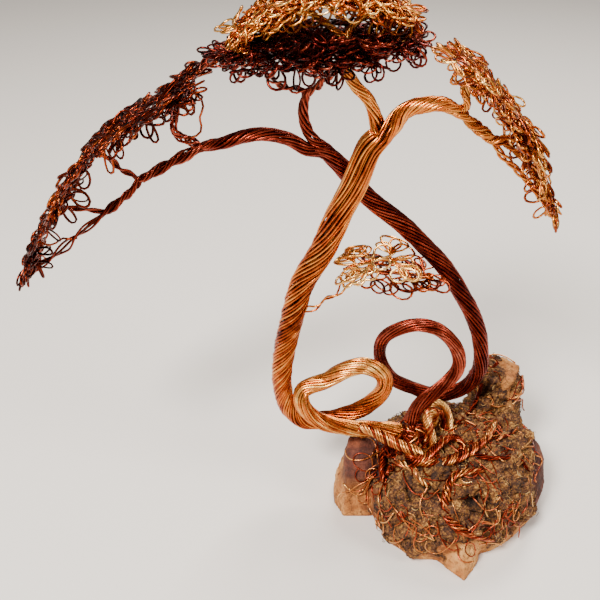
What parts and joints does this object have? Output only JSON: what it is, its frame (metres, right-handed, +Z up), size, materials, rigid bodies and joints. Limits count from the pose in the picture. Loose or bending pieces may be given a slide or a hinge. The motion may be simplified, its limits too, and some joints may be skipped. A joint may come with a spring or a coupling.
{
  "type": "wire tree sculpture",
  "caption": "Small sculpture of a bright and a dark copper wire tree that loop, cross and carry flat pads of leaf loops, rooted by a knot on a gnarled wood burl.",
  "frame": {"origin": "on the burl's flat underside, below its main mass", "axes": "+Z up, -Y towards the front, from which the trunks' loops are seen open; the long low branch reaches to -X"},
  "size_m": [0.203, 0.0853, 0.2038],
  "materials": {
    "copper_bright": "satin",
    "copper_dark": "satin",
    "copper_roots": "satin",
    "burl_wood": "matte",
    "dry_moss": "matte"
  },
  "bodies": {
    "root": {"burl_base": "burl_wood", "moss_mat": "dry_moss", "wire_roots": "copper_roots", "bright_trunk": "copper_bright", "bright_upper_branch": "copper_bright", "bright_right_branch": "copper_bright", "bright_top_leaves": "copper_bright", "bright_right_leaves": "copper_bright", "bright_inner_leaves": "copper_bright", "dark_trunk": "copper_dark", "dark_upper_branch": "copper_dark", "dark_left_branch": "copper_dark", "dark_top_leaves": "copper_dark", "dark_left_upper_leaves": "copper_dark", "dark_left_middle_leaves": "copper_dark", "dark_left_lower_leaves": "copper_dark", "dark_inner_leaves": "copper_dark"}
  },
  "joints": []
}
